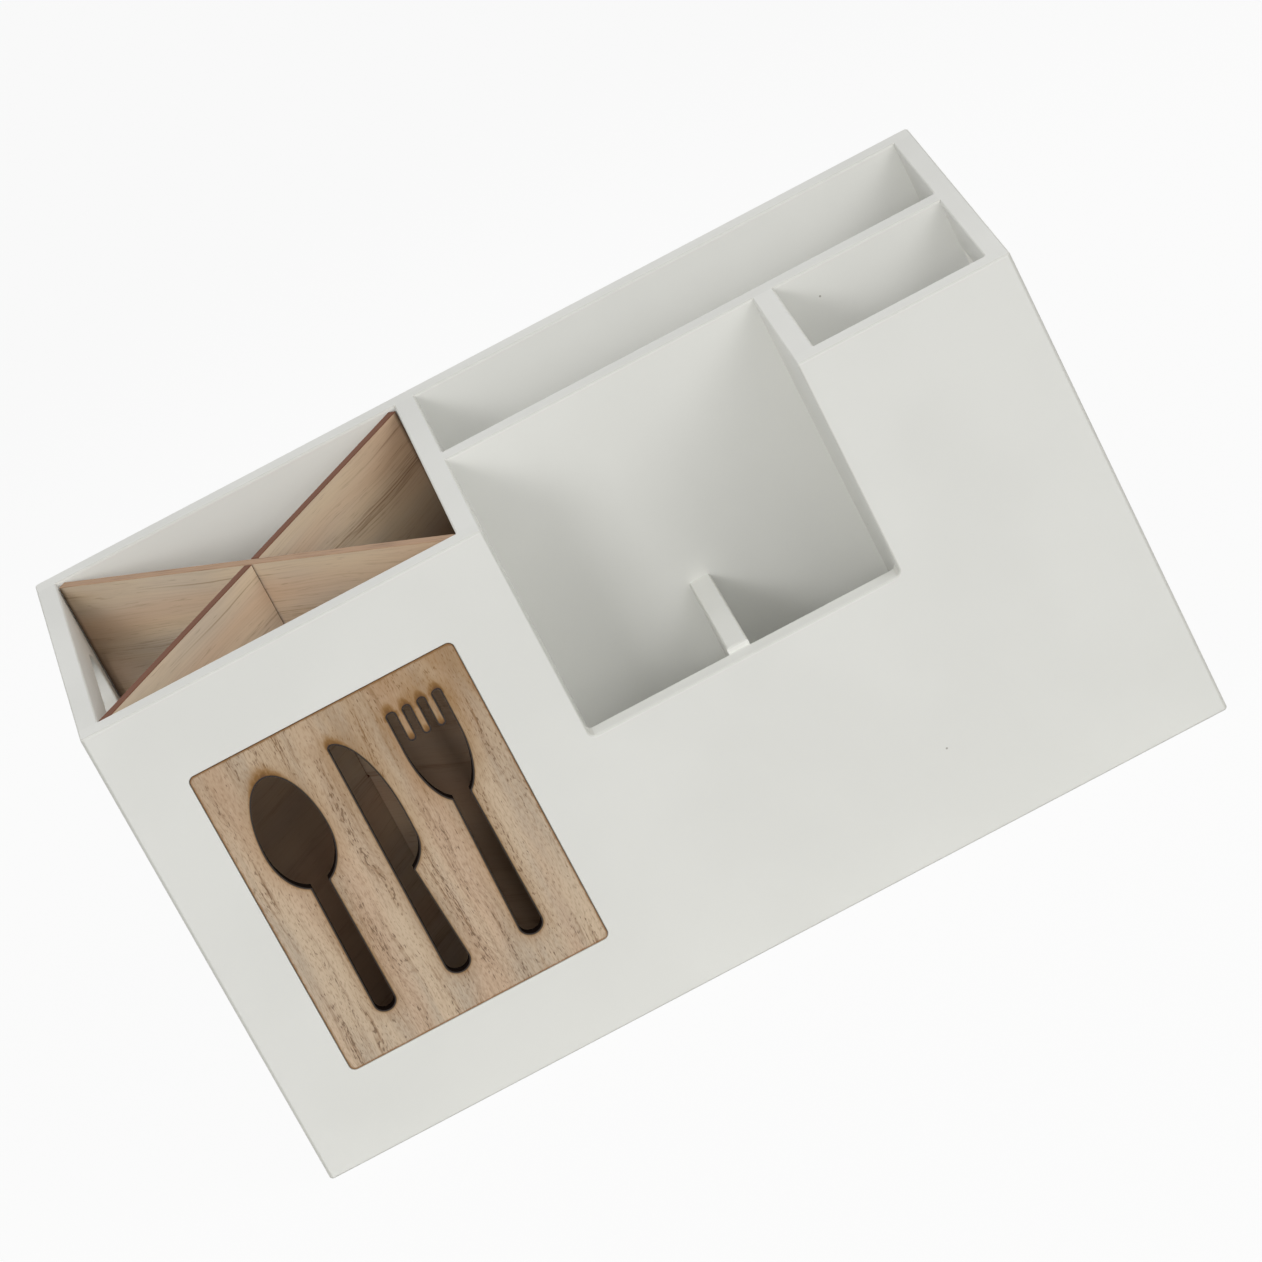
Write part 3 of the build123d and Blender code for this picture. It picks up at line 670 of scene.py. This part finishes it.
def slat_wood(name, wood, slats, turn, middle, half_length, shade_full_height):
    """Sanded paulownia slat.

    The eye sees grain along its length and burnt ends. Painted shade darkens it low down and at the rear
    end, both mostly on the side that faces the front, and less near the crossing.
    """
    material, tree, shader = new_material(name)
    place = coordinates(tree, "Object")
    centred = add_node(tree, "ShaderNodeVectorMath", {0: place, 1: middle}, operation="SUBTRACT")
    space = grain_space(tree, turn, centred.outputs["Vector"])
    colour, relief = wood_figure(tree, wood, space)
    from_middle = calculate(tree, "ABSOLUTE", parts(tree, space)["X"])
    end = half_length / MM
    burnt = between(tree, from_middle, end - slats.end_reach / MM, end, 0.0, slats.end_burn)
    colour = blend_colours(tree, burnt, colour, slats.char)

    # Painted shade: the rear end darkens, more low down, mostly on the side that faces the front
    facing_back = parts(tree, coordinates(tree, "Normal"))["Y"]
    front = between(tree, facing_back, *SIDE_BAND, 1.0, slats.rear_side_shade)
    part = parts(tree, place)
    rear_end = half_length * abs(math.sin(turn[2]))
    rear = between(tree, part["Y"], slats.rear_shade_start, rear_end, 0.0, slats.soot)
    deep = between(tree, part["Z"], slats.rear_shade_full, CAD_BOX[1].z, 1.0, slats.rear_shade_top)
    colour = blend_colours(tree, calculate(tree, "MULTIPLY", rear, deep, front), colour, slats.painted_shade)

    # Painted shade: darker towards the bottom, less near the crossing, mostly on the side that faces the
    # front
    low_shade = between(tree, part["Z"], shade_full_height, slats.shade_top, slats.shade_share, 0.0)
    clear = slats.crossing_reach / MM
    outer = between(tree, from_middle, CROSSING_CORE * clear, clear, slats.crossing_shade_share, 1.0)
    colour = blend_colours(tree, calculate(tree, "MULTIPLY", low_shade, outer, front), colour, slats.painted_shade)
    dress_wood(tree, shader, wood, colour, relief)
    return material


def slat_edge(name, wood, slats, colour, turn):
    """Laser-cut narrow edge of a slat: brown, with the grain showing as darker strokes."""
    material, tree, shader = new_material(name)
    space = grain_space(tree, turn)
    strokes = stretched_noise(tree, space, 2 * wood.dash_length, wood.dash_width, FINE)
    share = between(tree, strokes, *CHAR_BAND, 0.0, slats.stroke_share)
    shown = blend_colours(tree, share, colour, slats.char)
    tree.links.new(shown, shader.inputs["Base Color"])
    shader.inputs["Roughness"].default_value = slats.edge_roughness
    return material


def bright_steel(name, brads):
    """Bright steel wire: a clear metal with fine drawing marks along it."""
    material, tree, shader = new_material(name)
    space = grain_space(tree, GRAIN_ACROSS)
    marks = stretched_noise(tree, space, brads.mark_length, brads.mark_width, SOFT)
    colour = blend_colours(tree, marks, brads.colour, brads.dull)
    tree.links.new(colour, shader.inputs["Base Color"])
    rough = between(tree, marks, *SHEEN_BAND, brads.polish, brads.dullness)
    tree.links.new(rough, shader.inputs["Roughness"])
    shader.inputs["Metallic"].default_value = 1.0
    return material


def dress_node(node_name, material):
    """Give a CAD node one finish."""
    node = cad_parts[node_name]
    node.data.materials.clear()
    node.data.materials.append(material)


def merged_copy(node_name):
    """A bmesh of a CAD node with its loose triangles joined."""
    mesh = bmesh.new()
    mesh.from_mesh(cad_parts[node_name].data)
    bmesh.ops.remove_doubles(mesh, verts=mesh.verts[:], dist=WELD)
    return mesh


def bevel_edges(mesh, edges, width):
    """Round edges to a width."""
    bmesh.ops.bevel(
        mesh, geom=edges, offset=width, offset_type="OFFSET", segments=2, profile=0.5,
        affect="EDGES", material=-1, clamp_overlap=True,
    )


def finish_piece(mesh, piece_name, node_name, body, materials):
    """Turn a bmesh into a piece that stands for a CAD node and rides on its body."""
    bmesh.ops.triangulate(mesh, faces=mesh.faces[:])
    data = bpy.data.meshes.new(piece_name)
    mesh.to_mesh(data)
    mesh.free()
    if "custom_normal" in data.attributes:
        data.attributes.remove(data.attributes["custom_normal"])
    for material in materials:
        data.materials.append(material)
    piece = bpy.data.objects.new(piece_name, data)
    bpy.context.scene.collection.objects.link(piece)
    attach(piece, body)
    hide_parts(node_name)
    return piece


class HOLDER_OT_paint_boards(bpy.types.Operator):
    """Paint the nine boards of the box white"""

    bl_idname = "holder.paint_boards"
    bl_label = "Paint boards"

    def execute(self, context):
        paint = context.scene.holder_looks.paint
        across = white_paint("white_satin_paint_across", paint, GRAIN_ACROSS)
        deep = white_paint("white_satin_paint_deep", paint, GRAIN_DEEP)
        for name in BOARDS_ACROSS:
            dress_node(name, across)
        for name in BOARDS_DEEP:
            dress_node(name, deep)
        return {"FINISHED"}


class HOLDER_OT_make_plaque(bpy.types.Operator):
    """Make the plaque with rounded, burnt cut-outs"""

    bl_idname = "holder.make_plaque"
    bl_label = "Make plaque"

    wall_index = 1
    rim_index = 2
    facing = 0.9
    flat_facing = 0.5
    near_segments = 4
    margin = 3 * MM
    level = 0.01 * MM
    front_skin = 0.5 * MM
    least_top = 0.2
    smoke_sides = 2.5
    smoke_fade = 0.45
    smoke_rise = 2

    def round_edges(self, mesh, width):
        """Round the edges that lie in the plaque's front and back."""
        rounded = [
            edge for edge in mesh.edges
            if abs(edge.verts[0].co.y - edge.verts[1].co.y) < self.level
            and edge.calc_face_angle(0.0) > SHARP
        ]
        bevel_edges(mesh, rounded, width)

    def cut_in_cells(self, mesh, low, high, cell):
        """Cut the plaque into small cells, so that the burn can vary over it."""
        for axis in (Vector((1, 0, 0)), Vector((0, 0, 1))):
            place = low.dot(axis) + cell
            while place < high.dot(axis):
                everything = mesh.verts[:] + mesh.edges[:] + mesh.faces[:]
                bmesh.ops.bisect_plane(
                    mesh, geom=everything, dist=WELD, plane_co=axis * place, plane_no=axis,
                )
                place += cell

    def rim_segments(self, mesh, low, high):
        """Straight pieces of the outlines of the front and its cuts, with how far each tops a cut."""
        outline = []
        cuts = []
        for edge in mesh.edges:
            flat = [face for face in edge.link_faces if face.normal.y < -self.facing]
            round_faces = [face for face in edge.link_faces if face.normal.y >= -self.facing]
            if len(flat) != 1 or len(round_faces) != 1:
                continue
            first, second = (vert.co.copy() for vert in edge.verts)
            middle = (first + second) / 2
            near = min(middle.x - low.x, high.x - middle.x, middle.z - low.z, high.z - middle.z)
            topness = max(0.0, -round_faces[0].normal.z)
            row = (first, second, topness)
            if near < self.margin:
                outline.append(row)
            else:
                cuts.append(row)
        return outline, cuts

    def distances(self, mesh, segments, layer):
        """Write each vertex's distance from the nearest segment, seen from the front."""
        tree = KDTree(len(segments))
        for index, (first, second, _) in enumerate(segments):
            middle = (first + second) / 2
            tree.insert((middle.x, 0.0, middle.z), index)
        tree.balance()
        for vert in mesh.verts:
            point = Vector((vert.co.x, 0.0, vert.co.z))
            nearest = math.inf
            for _, index, _ in tree.find_n(point, self.near_segments):
                first, second, _ = segments[index]
                start = Vector((first.x, 0.0, first.z))
                end = Vector((second.x, 0.0, second.z))
                share = intersect_point_line(point, start, end)[1]
                foot = start.lerp(end, min(1.0, max(0.0, share)))
                nearest = min(nearest, (point - foot).length)
            vert[layer] = nearest

    def smoke(self, mesh, segments, layer, reach, width):
        """Write how much smoke each vertex got from the tops of the cuts below it."""
        tops = [
            ((first + second) / 2, topness) for first, second, topness in segments
            if topness > self.least_top
        ]
        front = min(vert.co.y for vert in mesh.verts) + self.front_skin
        for vert in mesh.verts:
            if vert.co.y > front:
                continue
            strongest = 0.0
            for place, topness in tops:
                rise = vert.co.z - place.z
                side = (vert.co.x - place.x) / width
                if -width < rise < self.smoke_rise * reach and abs(side) < self.smoke_sides:
                    fade = math.exp(-max(0.0, rise) / (self.smoke_fade * reach))
                    strongest = max(strongest, topness * fade * math.exp(-side * side))
            vert[layer] = strongest

    def finish_of(self, face, low, high):
        """Index of a face's material: wood, wall of a cut-out or outer edge."""
        if abs(face.normal.y) > self.flat_facing:
            return 0
        middle = face.calc_center_median()
        near = min(middle.x - low.x, high.x - middle.x, middle.z - low.z, high.z - middle.z)
        return self.rim_index if near < self.margin else self.wall_index

    def execute(self, context):
        looks = context.scene.holder_looks
        plaque = looks.plaque
        mesh = merged_copy("cutlery_plaque")
        low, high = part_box("cutlery_plaque")
        self.round_edges(mesh, plaque.edge_round)
        self.cut_in_cells(mesh, low, high, plaque.cell)
        mesh.normal_update()
        outline, cuts = self.rim_segments(mesh, low, high)
        for name in (CUT_DISTANCE, RIM_DISTANCE, SMOKE):
            mesh.verts.layers.float.new(name)
        layers = mesh.verts.layers.float
        self.distances(mesh, cuts, layers[CUT_DISTANCE])
        self.distances(mesh, outline, layers[RIM_DISTANCE])
        self.smoke(mesh, cuts, layers[SMOKE], plaque.smoke_reach, plaque.smoke_width)
        for face in mesh.faces:
            face.material_index = self.finish_of(face, low, high)
        finish_piece(
            mesh, "laser_cut_plaque", "cutlery_plaque", "holder",
            (
                plaque_wood("sanded_paulownia_plaque", looks.plaque_wood, plaque, low, high),
                charred_cut("charred_cut", plaque),
                toasted_rim("toasted_rim", plaque),
            ),
        )
        return {"FINISHED"}


class HOLDER_OT_make_slats(bpy.types.Operator):
    """Make the two slats of the cross with eased, burnt edges"""

    bl_idname = "holder.make_slats"
    bl_label = "Make slats"

    edge_index = 1
    facing = 0.95

    def make_slat(self, looks, node_name, piece_name, body, lean, edge_colour, shade_full_height):
        """One slat, whose length runs along X once it is turned back by lean."""
        slats = looks.slats
        low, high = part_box(node_name)
        middle = (low + high) / 2
        mesh = merged_copy(node_name)
        bmesh.ops.dissolve_limit(
            mesh, angle_limit=FLAT, verts=mesh.verts[:], edges=mesh.edges[:],
        )
        sharp = [edge for edge in mesh.edges if edge.calc_face_angle(0.0) > SHARP]
        bevel_edges(mesh, sharp, slats.edge_round)
        mesh.normal_update()
        face_way = Vector((-math.sin(lean), math.cos(lean), 0.0))
        for face in mesh.faces:
            face.material_index = 0 if abs(face.normal.dot(face_way)) > self.facing else self.edge_index
        turn = (0.0, 0.0, -lean)
        along = Vector((math.cos(lean), math.sin(lean), 0.0))
        half_length = max((vert.co - middle).dot(along) for vert in mesh.verts)
        wood = slat_wood(
            f"sanded_paulownia_{piece_name}", looks.slat_wood, slats, turn, middle, half_length,
            shade_full_height,
        )
        edge = slat_edge(f"laser_cut_edge_{piece_name}", looks.slat_wood, slats, edge_colour, turn)
        finish_piece(mesh, piece_name, node_name, body, (wood, edge))

    def execute(self, context):
        looks = context.scene.holder_looks
        low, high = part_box("lower_slat")
        lean = math.atan2(high.y - low.y, high.x - low.x)
        slats = looks.slats
        # Each slat's painted shade low down is full at its own height
        self.make_slat(
            looks, "lower_slat", "cross_slat_lower", "lower_slat", lean,
            slats.lower_edge, slats.lower_shade_full,
        )
        self.make_slat(
            looks, "upper_slat", "cross_slat_upper", "upper_slat", -lean,
            slats.upper_edge, slats.upper_shade_full,
        )
        return {"FINISHED"}


class HOLDER_OT_finish_brads(bpy.types.Operator):
    """Give the hidden brads their steel"""

    bl_idname = "holder.finish_brads"
    bl_label = "Finish brads"

    def execute(self, context):
        steel = bright_steel("bright_steel_wire", context.scene.holder_looks.brads)
        for name in BRAD_GROUPS:
            dress_node(name, steel)
        return {"FINISHED"}


class HOLDER_OT_set_stage(bpy.types.Operator):
    """Lay the floor and set the light and the camera"""

    bl_idname = "holder.set_stage"
    bl_label = "Set stage"

    floor_fade = 2

    def seen_rays(self, tree):
        """1 for rays that show a background, to the eye or in gloss and glass."""
        rays = add_node(tree, "ShaderNodeLightPath").outputs
        return calculate(
            tree, "MAXIMUM", rays["Is Camera Ray"], rays["Is Glossy Ray"], rays["Is Transmission Ray"],
        )

    def lay_floor(self, stage):
        """A pale floor, nearly white to the camera, that keeps the box's shadow."""
        material = bpy.data.materials.new("pale_floor")
        material.use_nodes = True
        tree = material.node_tree
        tree.nodes.clear()
        place = coordinates(tree, "Object")
        reach = add_node(tree, "ShaderNodeVectorMath", {0: place}, operation="LENGTH").outputs["Value"]
        far = between(tree, reach, stage.table_reach, self.floor_fade * stage.table_reach)
        colour = blend_colours(tree, far, stage.table, stage.floor)
        matt = add_node(tree, "ShaderNodeBsdfDiffuse", {"Color": colour})
        white = add_node(tree, "ShaderNodeEmission", {"Strength": 1.0})
        share = calculate(tree, "MULTIPLY", self.seen_rays(tree), stage.glow)
        mixed = add_node(
            tree, "ShaderNodeMixShader",
            {0: share, 1: matt.outputs["BSDF"], 2: white.outputs["Emission"]},
        )
        add_node(tree, "ShaderNodeOutputMaterial", {"Surface": mixed.outputs["Shader"]})
        mesh = bmesh.new()
        bmesh.ops.create_grid(mesh, x_segments=1, y_segments=1, size=stage.floor_size)
        bmesh.ops.translate(mesh, verts=mesh.verts[:], vec=(0.0, 0.0, CAD_BOX[0].z - stage.floor_gap))
        data = bpy.data.meshes.new("floor")
        mesh.to_mesh(data)
        mesh.free()
        data.materials.append(material)
        floor = bpy.data.objects.new("floor", data)
        bpy.context.scene.collection.objects.link(floor)

    def hang_softbox(self, scene, name, power, size, aside, height):
        """A softbox that faces the box, turned aside from straight ahead and raised by two angles."""
        reach = scene.holder_looks.stage.lamp_reach
        level = reach * math.cos(height)
        way = Vector((-level * math.sin(aside), -level * math.cos(aside), reach * math.sin(height)))
        turn = way.to_track_quat("Z", "Y").to_matrix().to_4x4()
        lamp = bpy.data.lights.new(name, "AREA")
        lamp.shape = "RECTANGLE"
        lamp.size, lamp.size_y = size
        lamp.energy = power
        softbox = bpy.data.objects.new(name, lamp)
        softbox.matrix_world = Matrix.Translation((CAD_BOX[0] + CAD_BOX[1]) / 2 + way) @ turn
        softbox.visible_camera = False
        scene.collection.objects.link(softbox)

    def light_scene(self, scene, stage):
        """Light from all round, a very large softbox in front, one each side and a low one behind."""
        world = bpy.data.worlds.new("studio")
        world.use_nodes = True
        tree = world.node_tree
        tree.nodes.clear()
        rest = calculate(tree, "MULTIPLY", self.seen_rays(tree), 1.0 - stage.sky)
        strength = calculate(tree, "ADD", rest, stage.sky)
        sky = add_node(
            tree, "ShaderNodeBackground", {"Color": (1.0, 1.0, 1.0, 1.0), "Strength": strength},
        )
        add_node(tree, "ShaderNodeOutputWorld", {"Surface": sky.outputs["Background"]})
        scene.world = world
        front_size = (stage.lamp_width, stage.lamp_depth)
        left_size = (stage.left_size, stage.left_size)
        right_size = (stage.right_size, stage.right_size)
        back_size = (stage.lamp_width, stage.fill_depth)
        for name, power, size, aside, height in (
            ("softbox", stage.lamp_power, front_size, stage.lamp_aside, stage.lamp_height),
            ("left_softbox", stage.left_power, left_size, stage.left_aside, stage.left_height),
            ("right_softbox", stage.right_power, right_size, -stage.right_aside, stage.right_height),
            ("fill", stage.fill_power, back_size, math.pi, stage.fill_height),
        ):
            self.hang_softbox(scene, name, power, size, aside, height)

    def aim_camera(self, scene, stage):
        """The camera at the photograph's place, angle and roll."""
        down, yaw, roll = stage.camera_down, stage.camera_yaw, stage.camera_roll
        ahead = Vector((
            -math.sin(yaw) * math.cos(down), math.cos(yaw) * math.cos(down), -math.sin(down),
        ))
        level = Vector((math.cos(yaw), math.sin(yaw), 0.0))
        below = ahead.cross(level)
        right = level * math.cos(roll) + below * math.sin(roll)
        up = level * math.sin(roll) - below * math.cos(roll)
        turn = Matrix((right, up, -ahead)).transposed().to_4x4()
        lens = bpy.data.cameras.new("camera")
        lens.sensor_fit = "HORIZONTAL"
        lens.sensor_width = SENSOR_WIDTH_MM
        lens.lens = SENSOR_WIDTH_MM * stage.focal_pixels / PHOTO_PIXELS
        camera = bpy.data.objects.new("camera", lens)
        camera.matrix_world = Matrix.Translation(stage.camera_place) @ turn
        scene.collection.objects.link(camera)
        scene.camera = camera

    def execute(self, context):
        scene = context.scene
        stage = scene.holder_looks.stage
        self.lay_floor(stage)
        self.light_scene(scene, stage)
        self.aim_camera(scene, stage)
        scene.view_settings.view_transform = "Standard"
        return {"FINISHED"}


STEPS = (
    HOLDER_OT_paint_boards,
    HOLDER_OT_make_plaque,
    HOLDER_OT_make_slats,
    HOLDER_OT_finish_brads,
    HOLDER_OT_set_stage,
)


class HOLDER_PT_looks(bpy.types.Panel):
    """Sidebar with the holder's settings and steps"""

    bl_idname = "HOLDER_PT_looks"
    bl_label = "Cutlery holder"
    bl_space_type = "VIEW_3D"
    bl_region_type = "UI"
    bl_category = "Holder"

    def draw(self, context):
        looks = context.scene.holder_looks
        for step in STEPS:
            self.layout.operator(step.bl_idname)
        for group in ("paint", "plaque_wood", "slat_wood", "plaque", "slats", "brads", "stage"):
            settings = getattr(looks, group)
            box = self.layout.box()
            box.label(text=group.replace("_", " ").capitalize())
            for setting in settings.bl_rna.properties:
                if setting.identifier not in ("rna_type", "name"):
                    box.prop(settings, setting.identifier)


CLASSES = (
    PaintLooks, PlaqueWood, SlatWood, PlaqueLooks, SlatLooks, BradLooks, StageLooks, HolderLooks,
    *STEPS, HOLDER_PT_looks,
)


def register():
    """Make the settings, steps and sidebar known."""
    for cls in CLASSES:
        bpy.utils.register_class(cls)
    bpy.types.Scene.holder_looks = PointerProperty(type=HolderLooks)


def unregister():
    """Take them away again."""
    del bpy.types.Scene.holder_looks
    for cls in reversed(CLASSES):
        bpy.utils.unregister_class(cls)


def main():
    """Dress the holder and set the stage."""
    register()
    bpy.ops.holder.paint_boards()
    bpy.ops.holder.make_plaque()
    bpy.ops.holder.make_slats()
    bpy.ops.holder.finish_brads()
    bpy.ops.holder.set_stage()


if __name__ == "__main__":
    main()
